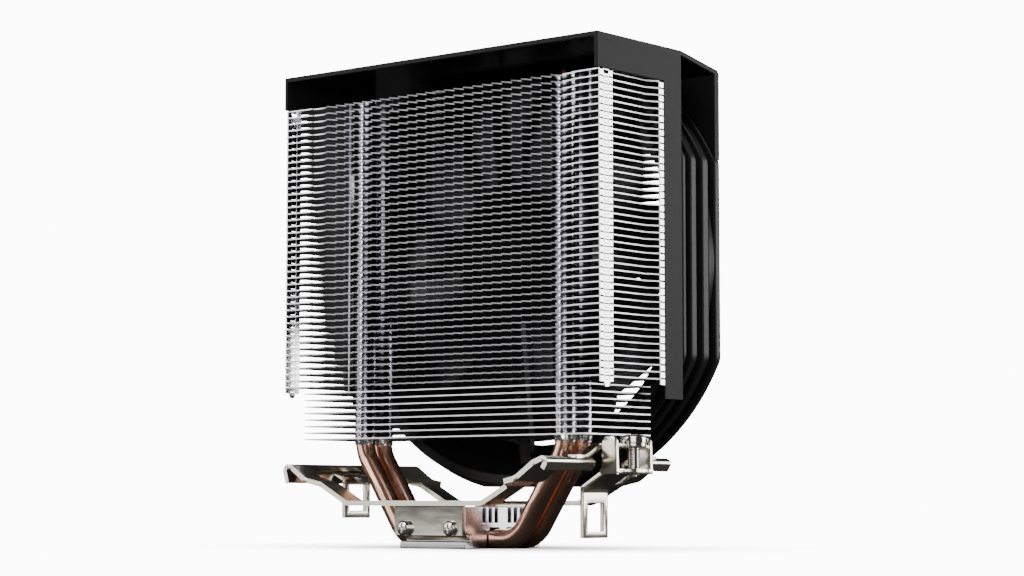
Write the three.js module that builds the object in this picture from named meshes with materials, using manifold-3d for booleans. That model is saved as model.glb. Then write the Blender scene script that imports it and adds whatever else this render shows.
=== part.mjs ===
// Tower cooler for a desktop processor: a finned stack on two U-shaped heat pipes, a clamping frame at
// the foot, a plastic hood and an axial fan. Millimetres, +Z up, fan side towards -Y, and the origin at
// the centre of the cold plate's contact face.
import * as THREE from "three";
import { mergeVertices } from "three/addons/utils/BufferGeometryUtils.js";
import Module from "manifold-3d";

const wasm = await Module();
wasm.setup();

// Driving dimensions.
const GAP = 0.3; // between pieces that touch
const HALF_WIDTH = 63; // hood and fan, from the middle plane
const TOP = 148.8; // height of the hood above the contact face
const SHEET = 1.5; // thickness of the clamping frame's steel

const PIPE = { radius: 3, legX: 40, rowY: 3.9, axisZ: 2.8, bendTopZ: 29.4, footX: 22.4, flatWidth: 6.6 };
const FIN = {
  thickness: 0.4, pitch: 2.04, topZ: 137.8, perBlock: 4, blocks: 11, lower: 8,
  halfWidth: 62.2, lowerHalfWidth: 56, rearY: 16.9, frontY: -16.5, waist: 2.1, holeRadius: 3.82,
};
const TAB = { thickness: 0.4, rear: [10.7, 16.7], front: [-15.1, -13.1] };
const BASE = { halfX: 13, halfY: 17.5, height: 12.4, slotWidth: 1.5, slotFloor: 7.6, slotsY: [3.1, 5.9, 8.7] };
const FOOT = { z: [2.3, 3.8], reach: 2.7 };
const STRIP = { innerY: 19.3, outerY: 26.5, earY: 32.4, plateTopZ: 14.2 };
const HOOK = { halfWidth: 5.8, innerX: 46.8, eyeHalfWidth: 3.7 };
const CLAMP = {
  axisX: -62, tongueTopZ: 30.8, tongueHalfY: 6.6, cheekY: 7.4, cheekX: -62.6, noseX: -65.3, floorZ: 21.8,
};
const TENSION_SCREW = { radius: 1.9, headRadius: 4, headHeight: 2.3, tipZ: 20.9 };
const BASE_SCREW = { x: 9.15, z: 6, radius: 1.2, headRadius: 2.3, headHeight: 1.9, depth: 6 };
const HOOD = {
  rearY: 17.9, stepY: -14.3, edgeY: -23.45, frontY: -43.3, roof: 1.6, wall: 1.25,
  skirtZ: 138.3, stripZ: 43.8, browZ: 116.8, slopeEndZ: 145.4, browBackY: -40.7,
};
const FAN = {
  centreZ: 86.8, rearY: -18.3, frontY: -43.3, ribRadius: 69.8, barrelRadius: 65, rearRadius: 67.8,
  boreRadius: 55.2, mouthRadius: 64.3, throatY: -33, floorZ: 18.5, roofZ: 143.2,
  ribs: [[-23.75, -25.4], [-28, -30.85], [-34, -37.1], [-40.6, -43.3]],
};
const HUB = { radius: 20.5, wall: 1.2, rearY: -22.9, faceY: -41.8, face: 1.5 };
const BLADE = { count: 9, tipRadius: 54.4, thickness: 1.5, leadY: -40.8, trailY: -23.6 };
const SHAFT = { radius: 1.5, boreRadius: 1.55 };

// Materials, one function for each finish.
const material = (color, roughness, metalness) => () =>
  new THREE.MeshStandardMaterial({ color, roughness, metalness });
const finish = {
  polishedAluminium: material(0xd9d9db, 0.25, 1),
  finAluminium: material(0xdcdde0, 0.35, 1),
  copper: material(0xc9866a, 0.25, 1),
  nickelSteel: material(0xbdb8a6, 0.3, 1),
  brightSteel: material(0xd8d6cc, 0.2, 1),
  blackPlastic: material(0x1b1a1b, 0.4, 0),
  greyPlastic: material(0x3a383c, 0.45, 0),
  rubber: material(0x161616, 0.9, 0),
  boardGreen: material(0x1d4a30, 0.6, 0),
  laminations: material(0x77787a, 0.5, 1),
  windings: material(0xb5622e, 0.35, 1),
  magnet: material(0x2b2a2a, 0.7, 0.2),
  bronze: material(0xa67c46, 0.4, 1),
  white: material(0xe6e6e2, 0.5, 0),
};

// A closed geometry as a solid that can be joined and cut, and back again.
function solid(geometry) {
  const g = geometry.clone();
  g.deleteAttribute("normal");
  g.deleteAttribute("uv");
  const merged = mergeVertices(g, 1e-4);
  return new wasm.Manifold(
    new wasm.Mesh({
      numProp: 3,
      vertProperties: new Float32Array(merged.attributes.position.array),
      triVerts: new Uint32Array(merged.index.array),
    }),
  );
}

function geometryOf(body) {
  const mesh = body.getMesh();
  const g = new THREE.BufferGeometry();
  g.setAttribute("position", new THREE.BufferAttribute(new Float32Array(mesh.vertProperties), 3));
  g.setIndex(new THREE.BufferAttribute(new Uint32Array(mesh.triVerts), 1));
  g.computeVertexNormals();
  return g;
}

const join = (first, ...rest) => rest.reduce((all, next) => all.add(next), first);
const cut = (first, ...rest) => rest.reduce((all, next) => all.subtract(next), first);

function box([x0, x1], [y0, y1], [z0, z1]) {
  const g = new THREE.BoxGeometry(Math.abs(x1 - x0), Math.abs(y1 - y0), Math.abs(z1 - z0));
  return solid(g.translate((x0 + x1) / 2, (y0 + y1) / 2, (z0 + z1) / 2));
}

// An outline of [a, b] points, extruded from one height to another. Along Z the points are (x, y),
// along Y they are (x, z), and along X they are (y, z).
const AXES = {
  X: [new THREE.Vector3(0, 1, 0), new THREE.Vector3(0, 0, 1), new THREE.Vector3(1, 0, 0)],
  Y: [new THREE.Vector3(1, 0, 0), new THREE.Vector3(0, 0, 1), new THREE.Vector3(0, -1, 0)],
  Z: [new THREE.Vector3(1, 0, 0), new THREE.Vector3(0, 1, 0), new THREE.Vector3(0, 0, 1)],
};
function prism(outline, axis, from, to, holes = []) {
  const vectors = (points) => points.map(([a, b]) => new THREE.Vector2(a, b));
  const shape = new THREE.Shape(vectors(outline));
  shape.holes = holes.map((hole) => new THREE.Path(vectors(hole)));
  const depth = Math.abs(to - from);
  const g = new THREE.ExtrudeGeometry(shape, { depth, bevelEnabled: false, curveSegments: 8 });
  const start = axis === "Y" ? -Math.max(from, to) : Math.min(from, to);
  return solid(g.translate(0, 0, start).applyMatrix4(new THREE.Matrix4().makeBasis(...AXES[axis])));
}

// A regular polygon that circumscribes a circle, as a list of points.
function ring(radius, sides, [a, b] = [0, 0], turn = 0.5) {
  return Array.from({ length: sides }, (_, i) => {
    const angle = ((i + turn) / sides) * 2 * Math.PI;
    return [a + radius * Math.cos(angle), b + radius * Math.sin(angle)];
  });
}

// A turned solid: [radius, height] points that climb from the axis back to the axis, or that close on
// themselves with the outer wall climbing.
function turned(profile, segments, axis, [x, y, z]) {
  const g = new THREE.LatheGeometry(profile.map(([r, h]) => new THREE.Vector2(r, h)), segments);
  if (axis === "Z") g.rotateX(Math.PI / 2);
  return solid(g.translate(x, y, z));
}
function sleeve(inner, outer, from, to, segments, axis, centre) {
  const low = Math.min(from, to);
  const high = Math.max(from, to);
  const wall = [[inner, low], [outer, low], [outer, high], [inner, high]];
  return turned(inner ? [...wall, wall[0]] : wall, segments, axis, centre);
}
const rod = (radius, from, to, segments, axis, centre) =>
  sleeve(0, radius, from, to, segments, axis, centre);

const FAN_AXIS = [0, 0, FAN.centreZ];
const assembly = new THREE.Group();
function place(name, body, makeMaterial, parent = assembly) {
  const mesh = new THREE.Mesh(geometryOf(body), makeMaterial());
  mesh.name = name;
  parent.add(mesh);
}

// Cold plate: an aluminium block with grooves for the pipes, cooling slots and seats for the feet.
function coldPlate() {
  const { halfX, halfY, height } = BASE;
  const grooveHalf = PIPE.flatWidth / 2 + GAP;
  const crown = PIPE.axisZ + PIPE.radius + GAP;
  const through = [-halfX - 1, halfX + 1];
  const grooves = [1, -1].map((s) => prism([
    [s * PIPE.rowY - grooveHalf, -1], [s * PIPE.rowY + grooveHalf, -1],
    [s * PIPE.rowY + grooveHalf, 3.6], [s * PIPE.rowY + 2, crown],
    [s * PIPE.rowY - 2, crown], [s * PIPE.rowY - grooveHalf, 3.6],
  ], "X", ...through));
  const slots = BASE.slotsY.flatMap((y) => [y, -y]).map((y) =>
    box(through, [y - BASE.slotWidth / 2, y + BASE.slotWidth / 2], [BASE.slotFloor, height + 1]));
  const seats = [1, -1].map((s) =>
    box(through, [s * (halfY + 1), s * (halfY - FOOT.reach - GAP)], [FOOT.z[0] - GAP, FOOT.z[1] + GAP]));
  const screwHoles = screwPlaces().map(([x, side]) =>
    rod(BASE_SCREW.radius + GAP, side * (halfY + 1), side * (halfY - BASE_SCREW.depth), 8, "Y",
      [x, 0, BASE_SCREW.z]));
  return cut(box([-halfX, halfX], [-halfY, halfY], [0, height]), ...grooves, ...slots, ...seats,
    ...screwHoles);
}

function screwPlaces() {
  return [1, -1].flatMap((side) => [1, -1].map((end) => [end * BASE_SCREW.x, side]));
}

// A heat pipe's centre line: straight runs joined by arcs, with stations only where it bends.
class BentLine extends THREE.Curve {
  constructor(corners, radii, stepsPerBend) {
    super();
    this.stations = [corners[0]];
    for (let i = 1; i < corners.length - 1; i++) {
      const before = corners[i - 1].clone().sub(corners[i]).normalize();
      const after = corners[i + 1].clone().sub(corners[i]).normalize();
      const half = before.angleTo(after) / 2;
      const centre = before.clone().add(after).normalize()
        .multiplyScalar(radii[i - 1] / Math.sin(half)).add(corners[i]);
      const start = corners[i].clone().addScaledVector(before, radii[i - 1] / Math.tan(half)).sub(centre);
      const end = corners[i].clone().addScaledVector(after, radii[i - 1] / Math.tan(half)).sub(centre);
      const axis = start.clone().cross(end).normalize();
      for (let k = 0; k <= stepsPerBend; k++)
        this.stations.push(
          start.clone().applyAxisAngle(axis, (start.angleTo(end) * k) / stepsPerBend).add(centre));
    }
    this.stations.push(corners.at(-1));
  }
  getPointAt(u) {
    return this.stations[Math.round(u * (this.stations.length - 1))].clone();
  }
  getTangentAt(u) {
    const i = Math.round(u * (this.stations.length - 1));
    const last = this.stations.length - 1;
    return this.stations[Math.min(i + 1, last)].clone()
      .sub(this.stations[Math.max(i - 1, 0)]).normalize();
  }
}

// A heat pipe: copper tube bent to a U, pressed to a D between the legs, its ends closed.
function heatPipe(y) {
  const { radius, legX, axisZ, bendTopZ, footX, flatWidth } = PIPE;
  const endZ = FIN.topZ + 0.6;
  const at = (x, z) => new THREE.Vector3(x, y, z);
  const line = new BentLine([
    at(legX, endZ), at(legX, bendTopZ), at(footX, axisZ),
    at(-footX, axisZ), at(-legX, bendTopZ), at(-legX, endZ),
  ], [12, 9, 9, 12], 3);
  const section = new THREE.Shape(ring(radius, 10).map(([a, b]) => new THREE.Vector2(a, b)));
  const tube = solid(new THREE.ExtrudeGeometry(section, {
    steps: line.stations.length - 1, extrudePath: line, bevelEnabled: false,
  }));
  const flat = prism([
    [y - flatWidth / 2, 0], [y + flatWidth / 2, 0], [y + flatWidth / 2, 3.4],
    [y + 1.8, 5.3], [y - 1.8, 5.3], [y - flatWidth / 2, 3.4],
  ], "X", -footX + 4, footX - 4);
  const dome = turned([[0, -1], [2.9, -1], [2.7, 0.5], [1.6, 1.6], [0, 2]], 10, "Z", [legX, y, endZ]);
  const cone = turned([[0, -1], [2.9, -1], [2.6, 0.3], [0.6, 4.2], [0, 4.5]], 10, "Z", [-legX, y, endZ]);
  return cut(join(tube, flat, dome, cone), box([-legX, legX], [y - 9, y + 9], [-9, 0]));
}

// Fins: aluminium sheet, pierced for the pipes. The upper ones are joined in blocks by folded tabs.
const finZ = (index) => FIN.topZ - index * FIN.pitch;
const pipeHoles = () => [1, -1].flatMap((sx) => [1, -1].map((sy) =>
  ring(FIN.holeRadius, 6, [sx * PIPE.legX, sy * PIPE.rowY])));

function plateFin(outline, index) {
  const z = finZ(index);
  return prism(outline, "Z", z - FIN.thickness / 2, z + FIN.thickness / 2, pipeHoles());
}

function finBlock(block) {
  const w = FIN.halfWidth;
  const waist = w - FIN.waist;
  const side = (s) => [
    [s * w, FIN.frontY], [s * w, TAB.front[1]], [s * waist, -8.1],
    [s * w, TAB.rear[0]], [s * w, FIN.rearY],
  ];
  const outline = [...side(1), ...side(-1).reverse()];
  const first = block * FIN.perBlock;
  const fins = Array.from({ length: FIN.perBlock }, (_, i) => plateFin(outline, first + i));
  const from = finZ(first + FIN.perBlock - 1) - FIN.pitch + FIN.thickness / 2 + GAP;
  const to = finZ(first) + FIN.thickness / 2;
  const tabs = [1, -1].flatMap((s) => [TAB.rear, TAB.front].map((range) =>
    box([s * (w - TAB.thickness), s * w], range, [from, to])));
  return join(...fins, ...tabs);
}

function lowerFin(index) {
  const w = FIN.lowerHalfWidth;
  return plateFin([[w, FIN.frontY], [w, 14.9], [-w, 14.9], [-w, FIN.frontY]], index);
}

// A strip of sheet seen edge on: its upper line, and the same line moved down by the thickness.
function sheetOutline(line) {
  const below = line.map(([x, z], i) => {
    const [x0, z0] = line[Math.max(i - 1, 0)];
    const [x1, z1] = line[Math.min(i + 1, line.length - 1)];
    const length = Math.hypot(x1 - x0, z1 - z0);
    return [x + ((z1 - z0) / length) * SHEET, z - ((x1 - x0) / length) * SHEET];
  });
  return [...line, ...below.reverse()];
}

// Clamping frame: a steel ring, raised towards both ends, with tabs that hold the cold plate. One
// end has a fixed hook, and the other has a tongue that carries the tension screw.
function clampingFrame() {
  const arm = (s) => [[s * 26.6, STRIP.plateTopZ], [s * 37.5, 19.9], [s * 44, 21.2], [s * 50.5, 25.7]];
  const fixedEnd = [[52.4, 25.6], [53.9, 24.4], [53.9, 22.8], [52.6, 19.5]];
  const screwEnd = [[-54.8, 22.9], [-56.4, 25], [-56.1, 26.4], [-54.6, 27.3]];
  const line = [...screwEnd, ...arm(-1).reverse(), ...arm(1), ...fixedEnd];
  const raised = prism(sheetOutline(line), "Y", -STRIP.earY, STRIP.earY);
  const half = (s) => [
    [s * -58, s * STRIP.earY], [s * -40, s * STRIP.earY], [s * -35.8, s * STRIP.outerY],
    [s * 58, s * STRIP.outerY],
  ];
  const windows = [
    box([-49.5, 49.5], [-STRIP.innerY, STRIP.innerY], [0, 40]),
    box([-58, -48], [-10.3, 10.3], [0, 40]),
  ];
  const plan = cut(prism([...half(1), ...half(-1)], "Z", 0, 40), ...windows);
  const tabs = [1, -1].map((s) => frameTab(s));
  return cut(join(raised.intersect(plan), ...tabs, fixedHook(), ...screwTongue()), ...tabHoles());
}

function frameTab(s) {
  const y = s * STRIP.innerY;
  const halfX = BASE.halfX + 0.5;
  const floorZ = STRIP.plateTopZ - SHEET;
  const wall = box([-halfX, halfX], [y - s * SHEET, y], [FOOT.z[0], STRIP.plateTopZ]);
  const foot = box([-halfX, halfX], [s * (BASE.halfY - FOOT.reach), y], FOOT.z);
  const bridge = box([-halfX, halfX], [y - s * SHEET, y + s * 0.5], [floorZ, STRIP.plateTopZ]);
  return join(wall, foot, bridge);
}

function tabHoles() {
  return screwPlaces().map(([x, side]) =>
    rod(BASE_SCREW.radius + GAP, side * (STRIP.innerY + 1), side * (STRIP.innerY - SHEET - 0.2), 8, "Y",
      [x, 0, BASE_SCREW.z]));
}

function hookPlate(innerX, s, bottomZ, topZ, eye) {
  const plate = box([s * innerX, s * (innerX + SHEET)], [-HOOK.halfWidth, HOOK.halfWidth], [bottomZ, topZ]);
  return cut(plate, box([s * (innerX - 1), s * (innerX + SHEET + 1)],
    [-HOOK.eyeHalfWidth, HOOK.eyeHalfWidth], eye));
}

function fixedHook() {
  const strap = sheetOutline([[46.8, 21.4], [53.6, 24.6]]);
  return join(
    hookPlate(HOOK.innerX, 1, 8.8, 21, [11.1, 19.2]),
    prism(strap, "Y", -HOOK.halfWidth, HOOK.halfWidth));
}

// The tongue: an arch in the frame's end, and a tab from its crown that is drilled for the screw.
function screwTongue() {
  const { axisX, noseX, tongueTopZ, tongueHalfY } = CLAMP;
  const under = tongueTopZ - SHEET;
  const arch = prism(sheetOutline([
    [-19.3, 27.3], [-14.8, 27.3], [-7.2, tongueTopZ], [7.2, tongueTopZ], [14.8, 27.3], [19.3, 27.3],
  ]), "X", -56, -53);
  const tongue = cut(box([noseX, -53], [-tongueHalfY, tongueHalfY], [under, tongueTopZ]),
    rod(TENSION_SCREW.radius + GAP, under - 1, tongueTopZ + 1, 10, "Z", [axisX, 0, 0]));
  return [arch, tongue];
}

// The moving hook: an eye on a slanted strap, a tapped floor for the screw and two guiding cheeks.
function movingHook() {
  const { axisX, cheekY, cheekX, noseX, floorZ } = CLAMP;
  const w = HOOK.halfWidth;
  const plate = hookPlate(HOOK.innerX, -1, 3.3, 17.8, [5.2, 13.4]);
  const strap = prism(sheetOutline([[-57.5, 23.3], [-55.9, 23.3], [-46.8, 18.2]]), "Y", -w, w);
  const nose = prism([[cheekX, -5.2], [noseX, -3.2], [noseX, 3.2], [cheekX, 5.2], [-60, 5.2], [-60, -5.2]],
    "Z", floorZ, floorZ + SHEET);
  const wide = box([cheekX, -56.3], [-cheekY - SHEET, cheekY + SHEET], [floorZ, floorZ + SHEET]);
  const floor = cut(join(wide, nose),
    rod(TENSION_SCREW.radius + GAP, floorZ - 1, floorZ + SHEET + 1, 10, "Z", [axisX, 0, 0]));
  const cheeks = [1, -1].map((s) =>
    prism([[cheekX, floorZ], [-57, floorZ], [-57.3, 32.6], [cheekX + 0.3, 32.6]], "Y", s * cheekY,
      s * (cheekY + SHEET)));
  return join(plate, strap, floor, ...cheeks);
}

function tensionScrew() {
  const { radius, headRadius, headHeight, tipZ } = TENSION_SCREW;
  const seat = CLAMP.tongueTopZ + GAP;
  const body = turned([
    [0, tipZ], [radius - 0.5, tipZ], [radius, tipZ + 0.6], [radius, seat], [headRadius, seat],
    [headRadius, seat + 0.7], [headRadius * 0.75, seat + headHeight * 0.8], [0, seat + headHeight],
  ], 12, "Z", [CLAMP.axisX, 0, 0]);
  const crossZ = [seat + headHeight - 1.1, seat + headHeight + 1];
  const cross = [[1.7, 0.45], [0.45, 1.7]].map(([halfX, halfY]) =>
    box([CLAMP.axisX - halfX, CLAMP.axisX + halfX], [-halfY, halfY], crossZ));
  return cut(body, ...cross);
}

function baseScrew(x, side) {
  const { z, radius, headRadius, headHeight, depth } = BASE_SCREW;
  const seat = STRIP.innerY + GAP;
  const tip = BASE.halfY - depth + 0.5;
  const profile = [
    [0, tip], [radius, tip], [radius, seat], [headRadius, seat], [headRadius, seat + 0.9],
    [headRadius * 0.7, seat + headHeight * 0.9], [0, seat + headHeight],
  ];
  return side > 0
    ? turned(profile, 10, "Y", [x, 0, z])
    : turned(profile.map(([r, h]) => [r, -h]).reverse(), 10, "Y", [x, 0, z]);
}

// Hood: roof, sloping visor, side skirts that run down as strips, and two brows beside the fan ring.
function hood() {
  const w = HALF_WIDTH;
  const { rearY, stepY, edgeY, frontY, roof, wall, skirtZ, stripZ, browZ, slopeEndZ, browBackY } = HOOD;
  const shell = prism([
    [rearY, TOP], [rearY, TOP - roof], [edgeY, TOP - roof], [frontY + 1.4, slopeEndZ - 1.7],
    [frontY, slopeEndZ - 1.8], [frontY, slopeEndZ - 1], [frontY + 1, slopeEndZ], [edgeY, TOP],
  ], "X", -w, w);
  const side = (s) => prism([
    [rearY, TOP - 0.5], [rearY, skirtZ], [stepY, skirtZ], [stepY, stripZ], [edgeY, stripZ],
    [edgeY, TOP - 0.5],
  ], "X", s * (w - wall), s * w);
  const finRelief = (s) => box([s * (w - wall - 1), s * (FIN.halfWidth + GAP)],
    [stepY + 1, FIN.frontY - GAP], [stripZ - 1, skirtZ]);
  const brow = (s) => cut(
    box([s * 38, s * w], [frontY, browBackY], [browZ, slopeEndZ - 1]),
    rod(FAN.ribRadius + GAP, frontY - 1, browBackY + 1, 72, "Y", FAN_AXIS));
  return cut(join(shell, side(1), side(-1), brow(1), brow(-1)), finRelief(1), finRelief(-1));
}

// Fan frame: a ribbed barrel with flats at its sides, roof and floor.
function fanFrame() {
  const { rearY, frontY, ribRadius, barrelRadius, rearRadius, boreRadius, mouthRadius, throatY } = FAN;
  const steps = [[rearRadius, rearY], [rearRadius, FAN.ribs[0][0]]];
  FAN.ribs.forEach(([back, front], i) => {
    if (i > 0) steps.push([barrelRadius, FAN.ribs[i - 1][1]], [barrelRadius, back]);
    steps.push([ribRadius, back], [ribRadius, front]);
  });
  const outer = turned([[0, frontY], ...steps.reverse(), [0, rearY]], 40, "Y", FAN_AXIS);
  const bore = turned([
    [0, frontY - 1], [boreRadius, frontY - 1], [boreRadius, throatY], [mouthRadius, rearY],
    [mouthRadius, rearY + 1], [0, rearY + 1],
  ], 40, "Y", FAN_AXIS).intersect(box([-60, 60], [frontY - 2, 0], [0, FAN.roofZ - 1.4]));
  const envelope = join(
    box([-HALF_WIDTH, HALF_WIDTH], [frontY, HOOD.edgeY - GAP], [FAN.floorZ, FAN.roofZ]),
    box([-61.4, 61.4], [HOOD.edgeY - 1, rearY], [FAN.floorZ, FAN.roofZ]));
  return cut(outer.intersect(envelope), bore);
}

// Motor mount: the plate and bearing holder behind the impeller, on four struts that meet the frame.
function motorMount() {
  const { rearY } = FAN;
  const plate = rod(21, rearY - 2, rearY, 24, "Y", FAN_AXIS);
  const holder = rod(4.3, -33, rearY - 1, 12, "Y", FAN_AXIS);
  const hollow = rod(3.3, -34, rearY - 1.2, 12, "Y", FAN_AXIS);
  return cut(join(plate, holder, ...struts()), hollow);
}

function struts() {
  const reach = 44;
  return [0, 1, 2, 3].map((i) => {
    const g = new THREE.BoxGeometry(reach, 3, 4.6);
    g.translate(reach / 2 + 18, 0, 0).rotateY(0.11).rotateY((i * Math.PI) / 2);
    const strut = solid(g.translate(0, FAN.rearY - 1.5, FAN.centreZ));
    return strut.intersect(box([GAP - 60, 60 - GAP], [-40, 0], [FAN.floorZ, FAN.roofZ - 1.4 - GAP]));
  });
}

// A blade: a curved, twisted sheet between the hub and the tip circle, closed at its edges.
function blade(index) {
  const RADIAL = 3;
  const CHORD = 3;
  const root = HUB.radius + GAP;
  const point = (i, j, side) => {
    const u = i / RADIAL;
    const v = j / CHORD;
    const r = root + u * (BLADE.tipRadius - root);
    const span = 0.62 - 0.14 * u;
    const angle = (index / BLADE.count) * 2 * Math.PI + 0.34 * u * u + span * (v - 0.5);
    const y = BLADE.leadY + (BLADE.trailY - BLADE.leadY) * v + 1.6 * Math.sin(Math.PI * v);
    const depth = y + side * BLADE.thickness * 0.5 * (1 - 0.3 * u);
    return [r * Math.cos(angle), depth, FAN.centreZ + r * Math.sin(angle)];
  };
  const columns = CHORD + 1;
  const layer = (RADIAL + 1) * columns;
  const positions = [1, -1].flatMap((side) =>
    Array.from({ length: layer }, (_, k) => point(Math.floor(k / columns), k % columns, side)).flat());
  const faces = [];
  const quad = (a, b, c, d) => faces.push(a, b, c, a, c, d);
  for (let i = 0; i < RADIAL; i++)
    for (let j = 0; j < CHORD; j++) {
      const a = i * columns + j;
      quad(a, a + 1, a + columns + 1, a + columns);
      quad(layer + a, layer + a + columns, layer + a + columns + 1, layer + a + 1);
    }
  for (let i = 0; i < RADIAL; i++) {
    const a = i * columns;
    const b = a + CHORD;
    quad(a, a + columns, layer + a + columns, layer + a);
    quad(b, layer + b, layer + b + columns, b + columns);
  }
  for (let j = 0; j < CHORD; j++) {
    const b = RADIAL * columns + j;
    quad(j, layer + j, layer + j + 1, j + 1);
    quad(b, b + 1, layer + b + 1, layer + b);
  }
  const g = new THREE.BufferGeometry();
  g.setAttribute("position", new THREE.Float32BufferAttribute(positions, 3));
  g.setIndex(faces);
  return solid(g);
}

function impellerHub() {
  const { radius, wall, rearY, faceY, face } = HUB;
  const cup = turned([
    [0, faceY], [radius - 1, faceY], [radius, faceY + 1], [radius, rearY], [radius - wall, rearY],
    [radius - wall, faceY + face], [0, faceY + face],
  ], 27, "Y", FAN_AXIS);
  const boss = sleeve(SHAFT.radius + GAP, 4, faceY + face - 0.5, faceY + face + 4.5, 10, "Y", FAN_AXIS);
  return join(cup, boss);
}

// Motor: four wound poles on the bearing holder, and the magnet ring that turns round them.
function statorCore() {
  const yAxis = (outline) => prism(outline, "Y", -24, -31, [ring(4.5 + GAP, 12)]);
  const hub = yAxis(ring(6.8, 12));
  const poles = [0, 1, 2, 3].map((i) => {
    const c = Math.round(Math.cos((i * Math.PI) / 2));
    const s = Math.round(Math.sin((i * Math.PI) / 2));
    const turn = ([r, t]) => [c * r - s * t, s * r + c * t];
    const outline = [[6.2, -2.2], [11.4, -2.2], [10.8, -6.6], [12.4, -6.6], [14.1, -2.4], [14.3, 0],
      [14.1, 2.4], [12.4, 6.6], [10.8, 6.6], [11.4, 2.2], [6.2, 2.2]].map(turn);
    return prism(outline, "Y", -24, -31);
  });
  return join(hub, ...poles).translate([0, 0, FAN.centreZ]);
}

function coil(index) {
  const winding = cut(box([7.4, 10.4], [-32, -23], [-3.8, 3.8]), box([7, 11], [-31.3, -23.7], [-2.5, 2.5]));
  return winding.rotate([0, index * 90, 0]).translate([0, 0, FAN.centreZ]);
}

function buildCooler() {
  place("cold_plate_block", coldPlate(), finish.polishedAluminium);
  place("heat_pipe_rear", heatPipe(PIPE.rowY), finish.copper);
  place("heat_pipe_front", heatPipe(-PIPE.rowY), finish.copper);

  const stack = new THREE.Group();
  assembly.add(stack);
  const label = (number) => String(number).padStart(2, "0");
  for (let b = 0; b < FIN.blocks; b++)
    place("fin_block_" + label(b + 1), finBlock(b), finish.finAluminium, stack);
  for (let i = 0; i < FIN.lower; i++)
    place("lower_fin_" + (i + 1), lowerFin(FIN.blocks * FIN.perBlock + i), finish.finAluminium, stack);

  const clamp = new THREE.Group();
  assembly.add(clamp);
  place("clamping_frame", clampingFrame(), finish.nickelSteel, clamp);
  place("moving_hook", movingHook(), finish.nickelSteel, clamp);
  place("tension_screw", tensionScrew(), finish.brightSteel, clamp);
  screwPlaces().forEach(([x, side], i) =>
    place("base_screw_" + (i + 1), baseScrew(x, side), finish.brightSteel, clamp));

  const fan = new THREE.Group();
  assembly.add(fan);
  place("hood", hood(), finish.blackPlastic);
  place("fan_frame", fanFrame(), finish.blackPlastic, fan);
  place("motor_mount", motorMount(), finish.blackPlastic, fan);
  const padRadius = (FAN.rearRadius + FAN.mouthRadius) / 2;
  [[1, 1], [1, -1], [-1, 1], [-1, -1]].forEach(([sx, sz], i) => {
    const centre = [sx * padRadius * Math.SQRT1_2, 0, FAN.centreZ + sz * padRadius * Math.SQRT1_2];
    place("rubber_pad_" + (i + 1), rod(1.5, FAN.rearY + GAP, FIN.frontY - GAP, 10, "Y", centre),
      finish.rubber, fan);
  });
  place("bearing_sleeve", sleeve(SHAFT.boreRadius, 3, -32.5, -22, 16, "Y", FAN_AXIS), finish.bronze, fan);
  place("circuit_board", sleeve(4.6, 17, -21.6, -20.6, 16, "Y", FAN_AXIS), finish.boardGreen, fan);
  place("stator_core", statorCore(), finish.laminations, fan);
  for (let i = 0; i < 4; i++) place("coil_" + (i + 1), coil(i), finish.windings, fan);

  const rotor = new THREE.Group();
  fan.add(rotor);
  place("impeller_hub", impellerHub(), finish.greyPlastic, rotor);
  for (let i = 0; i < BLADE.count; i++)
    place("impeller_blade_" + (i + 1), blade(i), finish.greyPlastic, rotor);
  place("rotor_yoke", sleeve(17.9, 18.8, -39.9, -23.4, 20, "Y", FAN_AXIS), finish.laminations, rotor);
  place("magnet_ring", sleeve(15.4, 17.4, -37.5, -24, 20, "Y", FAN_AXIS), finish.magnet, rotor);
  place("shaft", rod(SHAFT.radius, -39.6, -20.9, 16, "Y", FAN_AXIS), finish.brightSteel, rotor);
  place("retaining_washer", sleeve(1.8, 2.8, -21.7, -21.2, 12, "Y", FAN_AXIS), finish.white, rotor);
}

buildCooler();
export default assembly;
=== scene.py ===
# A single-tower processor cooler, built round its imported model.
# Shapes are worked out in millimetres; piece() turns them into metres.
import math

import bmesh
import bpy
import numpy as np
from mathutils import Matrix, Vector


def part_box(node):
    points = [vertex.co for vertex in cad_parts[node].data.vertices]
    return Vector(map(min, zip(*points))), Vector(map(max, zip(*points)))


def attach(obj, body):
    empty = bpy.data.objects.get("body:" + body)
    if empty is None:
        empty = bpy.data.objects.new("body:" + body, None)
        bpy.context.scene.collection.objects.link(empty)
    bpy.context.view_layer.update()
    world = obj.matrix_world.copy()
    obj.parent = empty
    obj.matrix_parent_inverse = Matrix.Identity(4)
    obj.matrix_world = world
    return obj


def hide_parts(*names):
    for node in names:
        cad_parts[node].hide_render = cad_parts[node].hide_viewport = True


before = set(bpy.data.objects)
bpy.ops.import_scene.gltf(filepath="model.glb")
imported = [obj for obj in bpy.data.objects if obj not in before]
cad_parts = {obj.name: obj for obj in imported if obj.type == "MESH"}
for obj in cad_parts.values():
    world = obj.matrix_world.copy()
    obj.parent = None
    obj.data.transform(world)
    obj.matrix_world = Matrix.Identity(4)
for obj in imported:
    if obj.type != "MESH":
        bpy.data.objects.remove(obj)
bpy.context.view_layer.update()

MM = 0.001

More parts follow.
